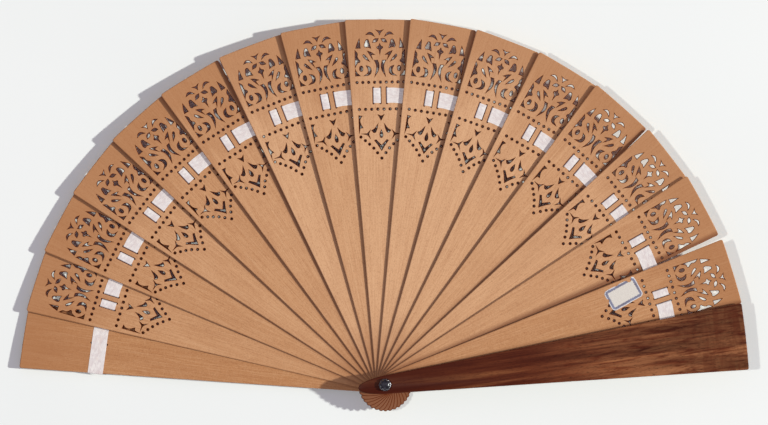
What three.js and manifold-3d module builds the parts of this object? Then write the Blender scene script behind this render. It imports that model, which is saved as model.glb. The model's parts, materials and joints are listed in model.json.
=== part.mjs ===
import * as THREE from "three";
import { ConvexGeometry } from "three/addons/geometries/ConvexGeometry.js";
import { mergeVertices } from "three/addons/utils/BufferGeometryUtils.js";
import Module from "manifold-3d";

const wasm = await Module();
wasm.setup();

// A sandalwood brise fan, spread open. Millimetres, +Z up.
// The fan lies flat with its front guard uppermost. The origin is on the rivet axis,
// at the flat rear face of the rivet. +Y runs from the rivet to the middle of the rim.

// Blades: the plain stick, the pierced sticks and both guards share one outline.
const BLADE_LENGTH = 210; // rivet axis to rim
const FRONT_GUARD_LENGTH = 209;
const RIM_WIDTH = 38.5;
const RIVET_WIDTH = 10.4; // width across the rivet hole
const TAIL_LENGTH = 15.5; // rivet axis to tail end
const RIM_CROWN = 0.3; // how far the rim bows outward
const RIM_SLOPE = 0.018; // how fast the rim falls from the left corner to the right
const TAIL_POWER = 4 / 3; // 1 would make the tail half an ellipse; more draws its end in
const CORNER_RADIUS = 1.2;
const STICK_THICKNESS = 0.6;
const GUARD_THICKNESS = 1.8;

// Stack, from the rear face upwards.
const BLADE_ROLL = 2.5; // degrees: every blade's left edge rides up on its left neighbour
const REAR_HEAD_HEIGHT = 1.2;
const SEAT_GAP = 0.05; // between pieces that are pressed or glued together
const RIBBON_GAP = 0.25; // between neighbouring sticks, where the ribbon runs
const STICK_PITCH = STICK_THICKNESS + RIBBON_GAP;

// Opening: the angle of the rear guard from +X, then the step to each blade after it.
const REAR_GUARD_ANGLE = 172.2;
const OPENING_STEPS = [
  9.0, 9.8, 10.1, 10.35, 10.4, 10.8, 10.35, 10.3, 10.3, 10.55, 10.4, 10.25, 10.75, 9.4, 11.35, 10.45,
];

// Rivet and jewel.
const PIN_DIAMETER = 2.4;
const PIN_HOLE_DIAMETER = 2.8;
const REAR_HEAD_DIAMETER = 7.2;
const SETTING_DIAMETER = 7.4;
const SETTING_HEIGHT = 1.9;
const SETTING_TEETH = 16;
const STONE_DIAMETER = 6.3;

// Ribbon and its slits.
const RIBBON_WIDTH = 9;
const RIBBON_THICKNESS = 0.08;
const RIBBON_RADIUS = 166.3; // rivet axis to the middle of the ribbon
const RIBBON_CLEARANCE = 0.03;
const SLIT_LENGTH = 9.8;
const SLIT_WIDTH = 0.8;
const SLIT_PLACES = [-4.2, -0.1, 3.5]; // across the stick, from the middle of the fretwork
const RIBBON_RUN = 14.5; // how far the ribbon runs over each stick, right of its middle

// Where the fretwork and slits are cut in a pierced stick: how far their middle line lies right
// of the stick's own, and how far they are moved out from the rivet. Both drift evenly from the
// first pierced stick to the last.
const FIRST_CUT = [-0.1, -0.5];
const LAST_CUT = [1.4, 0.5];
const GUARD_CUT = [0.8, 0]; // for the plain stick and the ribbon under the front guard

// Inventory label, stuck to the last pierced stick.
const LABEL_LENGTH = 20;
const LABEL_WIDTH = 12.8;
const LABEL_THICKNESS = 0.1;
const LABEL_RADIUS = 146.4;
const LABEL_SIDE = -7.1;
const LABEL_TURN = 11; // degrees from the axis of the stick, anticlockwise

// Openings right of the fretwork's middle line, each a loop of [across, along from the rivet].
const SIDE_OPENINGS = {
  top_crescent: [[3.5, 200.7], [5.6, 201.4], [7.3, 201.7], [6.0, 202.6], [4.5, 202.4]],
  oval: [[1.0, 199.0], [2.2, 197.2], [3.9, 197.0], [2.8, 198.9]],
  outer_leaf: [[11.9, 198.3], [11.4, 193.7], [13.7, 193.7]],
  blob: [[7.2, 198.4], [6.2, 196.6], [5.5, 193.8], [8.3, 194.1], [8.6, 195.9]],
  spandrel: [[14.2, 191.5], [12.9, 190.2], [12.9, 188.4], [11.6, 185.7], [14.2, 183.5]],
  teardrop: [[9.6, 189.5], [8.5, 189.8], [6.5, 186.5], [9.1, 188.2]],
  leaf: [[6.8, 191.5], [3.6, 190.0], [4.7, 188.4]],
  narrow_crescent: [[3.1, 186.3], [1.5, 186.4], [0.7, 182.9], [2.6, 178.3], [2.2, 182.5]],
  broad_crescent: [[7.8, 183.2], [5.5, 182.3], [5.4, 178.8], [8.5, 177.9], [6.8, 180.5]],
  lozenge: [[10.9, 183.3], [9.8, 181.8], [10.9, 180.2], [11.9, 181.8]],
  corner: [[14.1, 180.5], [11.9, 177.7], [14.1, 177.7]],
  bracket: [[12.8, 154.5], [11.1, 154.5], [12.0, 151.6], [10.7, 147.9], [12.6, 146.6]],
  flame: [[2.2, 149.2], [2.7, 147.2], [3.9, 145.0], [5.3, 146.1]],
  arrow: [[9.6, 144.1], [6.8, 145.5], [6.8, 142.6]],
};
const MIDDLE_OPENINGS = {
  top_wedge: [[-1.4, 203.5], [0, 201.5], [1.4, 203.5]],
  trefoil: [[0, 195.8], [-1.6, 193.9], [0, 190.8], [1.6, 193.9]],
  lower_wedge: [[-1.4, 154.7], [0, 152.3], [1.4, 154.7]],
  drop: [[0, 146.2], [-1.0, 143.1], [0, 142.0], [1.0, 143.1]],
  chevron: [[3.2, 140.8], [0, 137.4], [-3.2, 140.8], [-3.9, 140.2], [0, 134.8], [3.9, 140.2]],
};

// Colours and finishes.
const MATERIALS = {
  sandalwood: { color: 0xc29668, roughness: 0.6, metalness: 0 },
  rosewood: { color: 0x56301f, roughness: 0.45, metalness: 0 },
  satin: { color: 0xd9d3d6, roughness: 0.35, metalness: 0 },
  silver: { color: 0xb9bac0, roughness: 0.35, metalness: 1 },
  steel: { color: 0x8d8f94, roughness: 0.4, metalness: 1 },
  paste: { color: 0x59616e, roughness: 0.08, metalness: 0 },
  paper: { color: 0xe6e4de, roughness: 0.9, metalness: 0 },
};

const radians = (degrees) => (degrees * Math.PI) / 180;

// How far a rolled blade rises or dips across a round piece seated on it.
const rollRise = (diameter) => (diameter / 2) * Math.tan(radians(BLADE_ROLL));

// Height of the underside of each blade on the rivet axis; 0 is the plain stick, 16 the front guard.
const REAR_GUARD_Z = REAR_HEAD_HEIGHT + SEAT_GAP + rollRise(REAR_HEAD_DIAMETER);
const PLAIN_STICK_Z = REAR_GUARD_Z + GUARD_THICKNESS + SEAT_GAP;
const bladeZ = (index) => PLAIN_STICK_Z + index * STICK_PITCH;
const FRONT_GUARD_INDEX = OPENING_STEPS.length;
const LAST_STICK_INDEX = FRONT_GUARD_INDEX - 1;
const FRONT_TOP_Z = bladeZ(FRONT_GUARD_INDEX) + GUARD_THICKNESS;
const SETTING_Z = FRONT_TOP_Z + SEAT_GAP + rollRise(SETTING_DIAMETER);

function bladeAngle(index) {
  let angle = REAR_GUARD_ANGLE;
  for (const step of OPENING_STEPS.slice(0, index)) angle -= step;
  return angle;
}

// Half the width of a blade at a distance from the rivet axis.
const halfWidth = (along) => (RIVET_WIDTH + ((RIM_WIDTH - RIVET_WIDTH) * along) / BLADE_LENGTH) / 2;

// The outline of a blade, anticlockwise from the right of the rivet.
function bladeOutline(length) {
  const points = [];
  const half = halfWidth(length);
  const side = Math.atan2(half - RIVET_WIDTH / 2, length);
  const cut = CORNER_RADIUS;
  const left = length - RIM_CROWN + RIM_SLOPE * half;
  const right = length - RIM_CROWN - RIM_SLOPE * half;
  points.push([RIVET_WIDTH / 2, 0]);
  points.push([half - cut * Math.sin(side), right - cut]);
  points.push([half - cut * 0.3, right - cut * 0.3]);
  points.push([half - cut, right]);
  points.push([0, length]);
  points.push([-half + cut, left]);
  points.push([-half + cut * 0.3, left - cut * 0.3]);
  points.push([-half + cut * Math.sin(side), left - cut]);
  points.push([-RIVET_WIDTH / 2, 0]);
  const steps = 12;
  for (let i = 1; i < steps; i++) {
    const turn = (Math.PI * i) / steps;
    const depth = Math.sin(turn) ** TAIL_POWER;
    points.push([(-RIVET_WIDTH / 2) * Math.cos(turn), -TAIL_LENGTH * depth]);
  }
  return points;
}

// A flat solid of a given height above z = 0.
function plate(outline, height) {
  const shape = new THREE.Shape(outline.map(([x, y]) => new THREE.Vector2(x, y)));
  return new THREE.ExtrudeGeometry(shape, { depth: height, bevelEnabled: false, curveSegments: 1 });
}

function solidOf(geometry) {
  geometry.deleteAttribute("normal");
  geometry.deleteAttribute("uv");
  const merged = mergeVertices(geometry);
  const vertProperties = merged.attributes.position.array;
  const triVerts = new Uint32Array(merged.index.array);
  return new wasm.Manifold(new wasm.Mesh({ numProp: 3, vertProperties, triVerts }));
}

function geometryOf(solid) {
  const { vertProperties, numProp, triVerts } = solid.getMesh();
  const geometry = new THREE.BufferGeometry();
  geometry.setAttribute("position", new THREE.BufferAttribute(vertProperties, numProp));
  geometry.setIndex(new THREE.BufferAttribute(triVerts, 1));
  return geometry.toNonIndexed();
}

function circlePoints(radius, count) {
  const points = [];
  for (let i = 0; i < count; i++) {
    const turn = (2 * Math.PI * i) / count;
    points.push([radius * Math.cos(turn), radius * Math.sin(turn)]);
  }
  return points;
}

// A flat blade with its openings cut right through.
function blade(length, thickness, openings) {
  const margin = 1;
  let solid = solidOf(plate(bladeOutline(length), thickness));
  for (const opening of [circlePoints(PIN_HOLE_DIAMETER / 2, 12), ...openings]) {
    const cutter = plate(opening, thickness + 2 * margin);
    cutter.translate(0, 0, -margin);
    solid = solid.subtract(solidOf(cutter));
  }
  return geometryOf(solid);
}

const shifted = (points, [side, rise]) => points.map(([x, y]) => [x + side, y + rise]);

function cutPlace(index) {
  const share = (index - 1) / (LAST_STICK_INDEX - 1);
  return FIRST_CUT.map((start, i) => start + (LAST_CUT[i] - start) * share);
}

const mirrored = (points) => points.map(([x, y]) => [-x, y]);

function slit(across, cut) {
  const left = across - SLIT_WIDTH / 2;
  const right = across + SLIT_WIDTH / 2;
  const low = RIBBON_RADIUS - SLIT_LENGTH / 2;
  const high = RIBBON_RADIUS + SLIT_LENGTH / 2;
  return shifted([[left, low], [right, low], [right, high], [left, high]], cut);
}

function fretwork(cut) {
  const openings = [];
  for (const loop of Object.values(SIDE_OPENINGS)) {
    openings.push(shifted(loop, cut));
    openings.push(shifted(mirrored(loop), cut));
  }
  for (const loop of Object.values(MIDDLE_OPENINGS)) openings.push(shifted(loop, cut));
  for (const place of SLIT_PLACES) openings.push(slit(place, cut));
  return openings;
}

// A strip of ribbon that follows square-cornered steps of [across, height], RIBBON_WIDTH wide,
// moved out from the rivet by rise.
function ribbonStrip(steps, rise) {
  const half = RIBBON_THICKNESS / 2;
  const left = [];
  const right = [];
  steps.forEach(([x, z], i) => {
    const before = steps[Math.max(i - 1, 0)];
    const after = steps[Math.min(i + 1, steps.length - 1)];
    const first = i > 0 ? direction(before, [x, z]) : direction([x, z], after);
    const last = i < steps.length - 1 ? direction([x, z], after) : first;
    const nx = i === 0 || i === steps.length - 1 ? -first[1] : -first[1] - last[1];
    const nz = i === 0 || i === steps.length - 1 ? first[0] : first[0] + last[0];
    left.push([x + nx * half, z + nz * half]);
    right.push([x - nx * half, z - nz * half]);
  });
  const strip = plate([...right, ...left.reverse()], RIBBON_WIDTH);
  strip.rotateX(Math.PI / 2);
  strip.translate(0, RIBBON_RADIUS + rise + RIBBON_WIDTH / 2, 0);
  return strip;
}

function direction(from, to) {
  const dx = to[0] - from[0];
  const dz = to[1] - from[1];
  const size = Math.hypot(dx, dz);
  return [dx / size, dz / size];
}

// Heights of the middle of the ribbon over and under a blade, from the blade's underside.
const over = (thickness) => thickness + RIBBON_CLEARANCE + RIBBON_THICKNESS / 2;
const under = -RIBBON_CLEARANCE - RIBBON_THICKNESS / 2;
const RIBBON_EDGE = halfWidth(RIBBON_RADIUS - RIBBON_WIDTH / 2) - 0.5;

// On a pierced stick: under its left edge, up, over, down, under the bar, up and over to the right.
function threadedRibbon([side, rise]) {
  const [first, second, third] = SLIT_PLACES.map((place) => place + side);
  const top = over(STICK_THICKNESS);
  const steps = [
    [-RIBBON_EDGE, under],
    [first, under],
    [first, top],
    [second, top],
    [second, under],
    [third, under],
    [third, top],
    [RIBBON_RUN, top],
  ];
  return ribbonStrip(steps, rise);
}

// On the plain stick: over the whole face and down its outer edge.
function endRibbon() {
  const outer = -halfWidth(RIBBON_RADIUS + RIBBON_WIDTH / 2) - 0.2;
  const top = over(STICK_THICKNESS);
  const steps = [
    [outer, -1.2],
    [outer, top],
    [RIBBON_RUN, top],
  ];
  return ribbonStrip(steps, GUARD_CUT[1]);
}

// Under the front guard: in from its left edge and glued to its underside.
function guardRibbon() {
  const steps = [
    [-RIBBON_EDGE, under],
    [4, under],
  ];
  return ribbonStrip(steps, GUARD_CUT[1]);
}

// A solid turned about the Z axis from a profile of [radius, height], going upwards on the
// outside. lift(index, segment) raises single corners of the profile, for a toothed rim.
function turned(profile, segments, lift = () => 0) {
  const positions = [];
  const corner = (index, segment) => {
    const [r, z] = profile[index];
    const turn = (2 * Math.PI * (segment % segments)) / segments;
    return [r * Math.cos(turn), r * Math.sin(turn), z + lift(index, segment % segments)];
  };
  for (let i = 0; i < profile.length - 1; i++) {
    for (let s = 0; s < segments; s++) {
      const a = corner(i, s);
      const b = corner(i, s + 1);
      const c = corner(i + 1, s + 1);
      const d = corner(i + 1, s);
      if (profile[i][0] > 0) positions.push(...a, ...b, ...c);
      if (profile[i + 1][0] > 0) positions.push(...a, ...c, ...d);
    }
  }
  const geometry = new THREE.BufferGeometry();
  geometry.setAttribute("position", new THREE.Float32BufferAttribute(positions, 3));
  return geometry;
}

function rearHead() {
  const r = REAR_HEAD_DIAMETER / 2;
  const h = REAR_HEAD_HEIGHT;
  return turned([[0, 0], [r - 0.5, 0], [r, 0.5], [r, h], [0, h]], 24);
}

function pin() {
  const r = PIN_DIAMETER / 2;
  const low = REAR_HEAD_HEIGHT + SEAT_GAP;
  const high = SETTING_Z - SEAT_GAP;
  return turned([[0, low], [r, low], [r, high], [0, high]], 16);
}

// A cup with a toothed rim, whose every other tooth corner drops.
function jewelSetting() {
  const r = SETTING_DIAMETER / 2;
  const z = SETTING_Z;
  const top = z + SETTING_HEIGHT;
  const profile = [
    [0, z],
    [r - 0.3, z],
    [r, z + 0.7],
    [r - 0.1, top],
    [r - 0.35, top],
    [r - 0.35, z + 1.0],
    [1.2, z + 0.25],
    [0, z + 0.25],
  ];
  const toothCorner = (index) => index === 3 || index === 4;
  const lift = (index, segment) => (toothCorner(index) && segment % 2 ? -0.55 : 0);
  return turned(profile, 2 * SETTING_TEETH, lift);
}

// A paste stone with an eight-sided table, cut down to a round girdle and a blunt point.
function pasteStone() {
  const z = SETTING_Z;
  const girdle = STONE_DIAMETER / 2;
  const rings = [
    { radius: 0.5, height: z + 0.35, count: 8, turn: 0 },
    { radius: girdle, height: z + 1.15, count: 16, turn: 0 },
    { radius: girdle, height: z + 1.4, count: 16, turn: 0 },
    { radius: 2.5, height: z + 2.1, count: 8, turn: Math.PI / 8 },
    { radius: 1.7, height: z + 2.55, count: 8, turn: 0 },
  ];
  const points = [];
  for (const { radius, height, count, turn } of rings) {
    for (let i = 0; i < count; i++) {
      const angle = turn + (2 * Math.PI * i) / count;
      points.push(new THREE.Vector3(radius * Math.cos(angle), radius * Math.sin(angle), height));
    }
  }
  return new ConvexGeometry(points);
}

function inventoryLabel() {
  const label = new THREE.BoxGeometry(LABEL_WIDTH, LABEL_LENGTH, LABEL_THICKNESS);
  const z = STICK_THICKNESS + RIBBON_CLEARANCE + LABEL_THICKNESS / 2;
  label.rotateZ(radians(LABEL_TURN));
  label.translate(LABEL_SIDE, LABEL_RADIUS, z);
  return label;
}

const fan = new THREE.Group();
fan.name = "folding_fan";

function add(name, geometry, material) {
  if (!geometry.attributes.normal) geometry.computeVertexNormals();
  const mesh = new THREE.Mesh(geometry, new THREE.MeshStandardMaterial(MATERIALS[material]));
  mesh.name = name;
  fan.add(mesh);
  return mesh;
}

// Adds a piece drawn flat along +Y, rolled, turned to the angle of a blade and lifted to it.
function addAtBlade(index, name, geometry, material, z = bladeZ(index)) {
  const mesh = add(name, geometry, material);
  mesh.rotation.set(0, radians(BLADE_ROLL), radians(bladeAngle(index) - 90), "ZYX");
  mesh.position.z = z;
}

const numbered = (name, index) => `${name}_${String(index).padStart(2, "0")}`;

function addRearGuard() {
  addAtBlade(0, "rear_guard", blade(BLADE_LENGTH, GUARD_THICKNESS, []), "rosewood", REAR_GUARD_Z);
  const plain = blade(BLADE_LENGTH, STICK_THICKNESS, [slit(SLIT_PLACES[1], GUARD_CUT)]);
  addAtBlade(0, "plain_stick", plain, "sandalwood");
  addAtBlade(0, numbered("ribbon", 0), endRibbon(), "satin");
}

function addPiercedSticks() {
  for (let index = 1; index <= LAST_STICK_INDEX; index++) {
    const cut = cutPlace(index);
    const stick = blade(BLADE_LENGTH, STICK_THICKNESS, fretwork(cut));
    addAtBlade(index, numbered("stick", index), stick, "sandalwood");
    addAtBlade(index, numbered("ribbon", index), threadedRibbon(cut), "satin");
  }
  addAtBlade(LAST_STICK_INDEX, "inventory_label", inventoryLabel(), "paper");
}

function addFrontGuard() {
  const index = FRONT_GUARD_INDEX;
  addAtBlade(index, "front_guard", blade(FRONT_GUARD_LENGTH, GUARD_THICKNESS, []), "rosewood");
  addAtBlade(index, numbered("ribbon", index), guardRibbon(), "satin");
}

function addRivet() {
  add("rivet_rear_head", rearHead(), "steel");
  add("rivet_pin", pin(), "steel");
  add("jewel_setting", jewelSetting(), "silver");
  add("paste_stone", pasteStone(), "paste");
}

addRearGuard();
addPiercedSticks();
addFrontGuard();
addRivet();

export default fan;
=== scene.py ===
import functools
import json
import math

import bmesh
import bpy
from mathutils import Matrix, Vector

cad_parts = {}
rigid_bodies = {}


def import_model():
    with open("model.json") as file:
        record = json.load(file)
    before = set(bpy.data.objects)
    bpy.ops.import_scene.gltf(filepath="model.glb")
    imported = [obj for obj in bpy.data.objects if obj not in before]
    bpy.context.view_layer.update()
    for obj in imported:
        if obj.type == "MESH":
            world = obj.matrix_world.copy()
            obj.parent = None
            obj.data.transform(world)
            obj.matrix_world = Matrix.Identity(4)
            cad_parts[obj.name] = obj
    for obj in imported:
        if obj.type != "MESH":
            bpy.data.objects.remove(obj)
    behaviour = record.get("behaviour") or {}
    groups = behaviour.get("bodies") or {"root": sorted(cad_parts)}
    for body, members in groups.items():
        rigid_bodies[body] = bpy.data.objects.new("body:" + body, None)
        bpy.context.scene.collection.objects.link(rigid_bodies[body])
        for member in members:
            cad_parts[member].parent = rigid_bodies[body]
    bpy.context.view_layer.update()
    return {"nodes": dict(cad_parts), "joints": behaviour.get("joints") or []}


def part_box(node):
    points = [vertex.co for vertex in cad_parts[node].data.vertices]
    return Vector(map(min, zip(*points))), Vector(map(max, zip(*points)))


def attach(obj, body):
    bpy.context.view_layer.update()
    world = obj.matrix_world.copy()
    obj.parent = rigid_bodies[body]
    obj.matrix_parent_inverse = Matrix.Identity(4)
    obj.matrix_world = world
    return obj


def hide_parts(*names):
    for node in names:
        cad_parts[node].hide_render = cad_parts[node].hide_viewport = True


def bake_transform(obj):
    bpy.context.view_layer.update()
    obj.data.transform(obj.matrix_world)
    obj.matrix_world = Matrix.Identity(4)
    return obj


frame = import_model()

# A sandalwood brise fan, spread open on a pale board and seen from above.
# Sizes are in millimetres until a mesh is placed; MM turns them into metres.
MM = 0.001

# Blades, as in the CAD model.
REAR_GUARD_ANGLE = 172.2
BLADE_ROLL = 2.5
BLADE_LENGTH = 210.0
FRONT_GUARD_LENGTH = 209.0
RIM_WIDTH = 38.5
RIVET_WIDTH = 10.4
TAIL_LENGTH = 15.5
RIM_CROWN = 0.3
RIM_SLOPE = 0.018
TAIL_POWER = 4 / 3
TAIL_STEPS = 28
CORNER_RADIUS = 1.2
STICK_THICKNESS = 0.6
GUARD_THICKNESS = 1.8
GUARD_BEVEL = 0.35
GUARD_ROUNDS = 2
PIN_HOLE_RADIUS = 1.4

# Where the fretwork and slits are cut in a pierced stick: how far their middle line lies right
# of the stick's own, and how far they are moved out from the rivet. Both drift evenly from the
# first pierced stick to the last. GUARD_CUT is for the plain stick and the front guard.
FIRST_CUT = (-0.1, -0.5)
LAST_CUT = (1.4, 0.5)
GUARD_CUT = (0.8, 0.0)

# Fretwork. The openings and round holes are drawn as narrow as they are halfway through the
# wood, and the bevels widen them at the faces. FRET_GROWTH below 0 draws the openings in.
FRET_GROWTH = -0.13
UPPER_DOTS = {"count": 9, "pitch": 3.37, "along": 173.9}
LOWER_DOTS = {"count": 8, "pitch": 3.54, "along": 158.4}
DOT_RADIUS = 0.6
BORDER_DOTS = [(0, 130.2), (2.4, 133.3), (4.5, 136.0), (6.9, 138.3), (9.3, 140.4), (11.8, 142.5)]

# The bevel along every edge of a stick: its width on the face, and how deep it goes.
CHAMFER_WIDTH = 0.34
CHAMFER_DEPTH = 0.25

# Ribbon and its slits.
RIBBON_WIDTH = 8.7
RIBBON_THICKNESS = 0.08
RIBBON_CLEARANCE = 0.03
RIBBON_RADIUS = 166.3
SLIT_LENGTH = 9.6
SLIT_WIDTH = 0.5
SLIT_PLACES = (-4.2, -0.1, 3.5)

# A face is painted as a stick's own wood where the upright part of its normal is over FLAT, and on the
# outer edge where that is over UPRIGHT. The outer edge is OUTER_BAND wide at a stick's side and twice that
# at its rim, and it begins BRIGHT_EDGE_FROM out from the rivet. All other faces, among them the bevels of
# the openings, the tail and the edges near the rivet, take the dark sawn wood, which is partly painted
# shade.
FLAT = 0.9
UPRIGHT = 0.4
OUTER_BAND = 0.7
BRIGHT_EDGE_FROM = 10.0

# Name of the mesh attribute that holds a point's place on its own blade.
PLACE = "place_on_piece"


# ---------------------------------------------------------------- blades


def half_width(along):
    return (RIVET_WIDTH + (RIM_WIDTH - RIVET_WIDTH) * along / BLADE_LENGTH) / 2


def cut_place(share):
    """Where a pierced stick is cut: share is 0 for the first of them and 1 for the last."""
    return tuple(start + (end - start) * share for start, end in zip(FIRST_CUT, LAST_CUT))


def blade_chain():
    """Every blade from the plain stick to the front guard: its body, angle, matrix and cut."""
    joints = frame["joints"]
    bodies = [joints[0]["parent"]] + [joint["child"] for joint in joints]
    nodes = ["plain_stick"] + bodies[1:]
    steps = [0.0] + [joint["range_deg"][1] for joint in joints]
    pierced = len(steps) - 2
    cuts = [GUARD_CUT, *[cut_place(i / (pierced - 1)) for i in range(pierced)], GUARD_CUT]
    chain = []
    angle = REAR_GUARD_ANGLE
    for body, node, step, cut in zip(bodies, nodes, steps, cuts):
        angle -= step
        chain.append({"body": body, "angle": angle, "matrix": blade_matrix(node, angle), "cut": cut})
    return chain


def blade_matrix(node, angle):
    """Takes a blade's own frame, flat along +Y about its middle plane, to its place in the fan."""
    low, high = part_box(node)
    lift = Matrix.Translation((0, 0, (low.z + high.z) / 2))
    turn = Matrix.Rotation(math.radians(angle - 90), 4, "Z")
    roll = Matrix.Rotation(math.radians(BLADE_ROLL), 4, "Y")
    return lift @ turn @ roll


def arc(x, y, radius, start, end, steps):
    points = []
    for i in range(steps + 1):
        turn = math.radians(start + (end - start) * i / steps)
        points.append((x + radius * math.cos(turn), y + radius * math.sin(turn)))
    return points


def rim_height(x, length, reach):
    return length - RIM_CROWN * (x / reach) ** 2 - RIM_SLOPE * x


def blade_outline(length):
    """Anticlockwise from the right of the rivet: side, corner, bowed rim, corner and drawn-in tail."""
    half = half_width(length)
    cut = CORNER_RADIUS
    reach = half - cut
    right = arc(reach, rim_height(half, length, half) - cut, cut, 0, 90, 5)
    left = arc(-reach, rim_height(-half, length, half) - cut, cut, 90, 180, 5)
    rim = [(x, rim_height(x, length, half)) for x in (12, 6, 0, -6, -12)]
    tail = []
    for i in range(1, TAIL_STEPS):
        turn = math.pi * i / TAIL_STEPS
        depth = math.sin(turn) ** TAIL_POWER
        tail.append((-RIVET_WIDTH / 2 * math.cos(turn), -TAIL_LENGTH * depth))
    return [(RIVET_WIDTH / 2, 0)] + right + rim + left + [(-RIVET_WIDTH / 2, 0)] + tail


def slit_loop(place, cut):
    x = place + cut[0]
    low = RIBBON_RADIUS + cut[1] - SLIT_LENGTH / 2
    high = low + SLIT_LENGTH
    half = SLIT_WIDTH / 2
    lower = arc(x, low + half, half, 180, 360, 4)
    upper = arc(x, high - half, half, 0, 180, 4)
    return lower + upper


# Openings right of the fretwork's middle line. A point is (across, along), and a third entry
# "corner" makes a sharp corner there; the others are passed smoothly.
CORNER = "corner"
SIDE_OPENINGS = {
    "top_crescent": [(3.3, 200.6, CORNER), (5.4, 201.5), (7.5, 201.5, CORNER), (6.1, 202.7), (4.4, 202.3)],
    "oval": [(0.9, 198.9, CORNER), (1.7, 197.3), (4.0, 196.9, CORNER), (3.1, 198.7)],
    "outer_leaf": [
        (11.8, 198.5, CORNER),
        (11.5, 195.9),
        (11.3, 193.6, CORNER),
        (13.8, 193.7, CORNER),
        (12.9, 196.5),
    ],
    "blob": [(7.1, 198.6), (6.1, 196.7), (5.3, 193.7, CORNER), (7.3, 194.2), (8.6, 194.2), (8.5, 196.9)],
    "spandrel": [
        (14.3, 191.9, CORNER),
        (13.0, 190.5),
        (13.1, 188.7, CORNER),
        (12.5, 187.4),
        (11.5, 185.9),
        (12.9, 185.1),
        (14.3, 183.2, CORNER),
    ],
    "teardrop": [(9.6, 189.8), (8.3, 189.1), (6.4, 186.3, CORNER), (8.9, 187.8)],
    "leaf": [
        (6.9, 191.7, CORNER),
        (5.2, 191.2),
        (3.5, 190.0, CORNER),
        (4.9, 189.7),
        (4.8, 188.2, CORNER),
        (5.9, 189.8),
    ],
    "narrow_crescent": [
        (3.2, 186.5, CORNER),
        (1.4, 186.5, CORNER),
        (0.6, 183.9),
        (1.0, 180.9),
        (2.7, 178.1, CORNER),
        (2.2, 181.1),
        (2.2, 183.9),
    ],
    "broad_crescent": [
        (7.8, 183.3, CORNER),
        (6.0, 182.7),
        (5.1, 180.6),
        (6.0, 178.4),
        (8.7, 177.8, CORNER),
        (7.2, 179.2),
        (6.9, 181.2),
    ],
    "lozenge": [(10.9, 183.4), (9.9, 181.9), (10.9, 180.2), (11.9, 181.8)],
    "corner": [(14.2, 180.6, CORNER), (13.2, 179.2), (11.8, 177.8, CORNER), (14.2, 177.7, CORNER)],
    "bracket": [
        (12.8, 154.7, CORNER),
        (11.0, 154.5, CORNER),
        (11.9, 153.2),
        (12.0, 150.7),
        (10.6, 147.9, CORNER),
        (12.0, 147.5),
        (12.7, 146.2, CORNER),
    ],
    "flame": [(2.1, 149.4, CORNER), (2.5, 147.0), (3.9, 144.9), (5.4, 146.2, CORNER), (3.9, 147.2)],
    "arrow": [
        (9.7, 144.2, CORNER),
        (8.2, 144.5),
        (6.8, 145.7, CORNER),
        (7.2, 144.1),
        (6.8, 142.4, CORNER),
        (8.2, 143.7),
    ],
}
MIDDLE_OPENINGS = {
    "top_wedge": [
        (-1.5, 203.7, CORNER),
        (-0.7, 202.7),
        (0, 201.4, CORNER),
        (0.7, 202.7),
        (1.5, 203.7, CORNER),
        (0, 203.4),
    ],
    "trefoil": [
        (0, 195.9, CORNER),
        (-0.7, 194.7),
        (-1.7, 194.0),
        (-0.6, 192.8),
        (0, 190.7, CORNER),
        (0.6, 192.8),
        (1.7, 194.0),
        (0.7, 194.7),
    ],
    "lower_wedge": [(-1.5, 154.9, CORNER), (0, 152.2, CORNER), (1.5, 154.9, CORNER), (0, 154.5)],
    "drop": [(0, 146.3, CORNER), (-0.9, 143.6), (0, 142.0), (0.9, 143.6)],
    "chevron": [
        (3.1, 140.8, CORNER),
        (0, 137.5, CORNER),
        (-3.1, 140.8, CORNER),
        (-3.9, 140.3, CORNER),
        (-1.9, 137.6),
        (0, 134.7, CORNER),
        (1.9, 137.6),
        (3.9, 140.3, CORNER),
    ],
}


def grown(loop):
    """The loop with every point pushed outwards by FRET_GROWTH, square to the loop there."""
    area = 0.0
    for a, b in zip(loop, loop[1:] + loop[:1]):
        area += a[0] * b[1] - b[0] * a[1]
    side = FRET_GROWTH if area > 0 else -FRET_GROWTH
    points = []
    for before, point, after in zip(loop[-1:] + loop[:-1], loop, loop[1:] + loop[:1]):
        run = (Vector(after[:2]) - Vector(before[:2])).normalized()
        points.append((point[0] + run.y * side, point[1] - run.x * side, *point[2:]))
    return points


def shifted(loop, cut):
    return [(point[0] + cut[0], point[1] + cut[1], *point[2:]) for point in grown(loop)]


def mirrored(loop):
    return [(-point[0], *point[1:]) for point in loop]


def dot_places():
    places = []
    for row in (UPPER_DOTS, LOWER_DOTS):
        first = -(row["count"] - 1) / 2
        for i in range(row["count"]):
            places.append(((first + i) * row["pitch"], row["along"]))
    for across, along in BORDER_DOTS:
        places.append((across, along))
        if across:
            places.append((-across, along))
    return places


def fret_curves(cut):
    curves = []
    for loop in SIDE_OPENINGS.values():
        curves.append(shifted(loop, cut))
        curves.append(shifted(mirrored(loop), cut))
    for loop in MIDDLE_OPENINGS.values():
        curves.append(shifted(loop, cut))
    return curves


def fret_rings(cut):
    rings = [slit_loop(place, cut) for place in SLIT_PLACES]
    for x, y in dot_places():
        rings.append(arc(x + cut[0], y + cut[1], DOT_RADIUS, 0, 330, 11))
    return rings


def add_ring(curve, points):
    """A closed loop of straight runs between points."""
    spline = curve.splines.new("POLY")
    spline.points.add(len(points) - 1)
    for target, (x, y) in zip(spline.points, points):
        target.co = (x, y, 0, 1)
    spline.use_cyclic_u = True


def add_curve(curve, points):
    """A closed loop that is smooth except where a point is marked as a corner."""
    spline = curve.splines.new("BEZIER")
    spline.bezier_points.add(len(points) - 1)
    for target, point in zip(spline.bezier_points, points):
        target.co = (point[0], point[1], 0)
        kind = "VECTOR" if CORNER in point else "AUTO"
        target.handle_left_type = kind
        target.handle_right_type = kind
    spline.resolution_u = 4
    spline.use_cyclic_u = True


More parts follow.
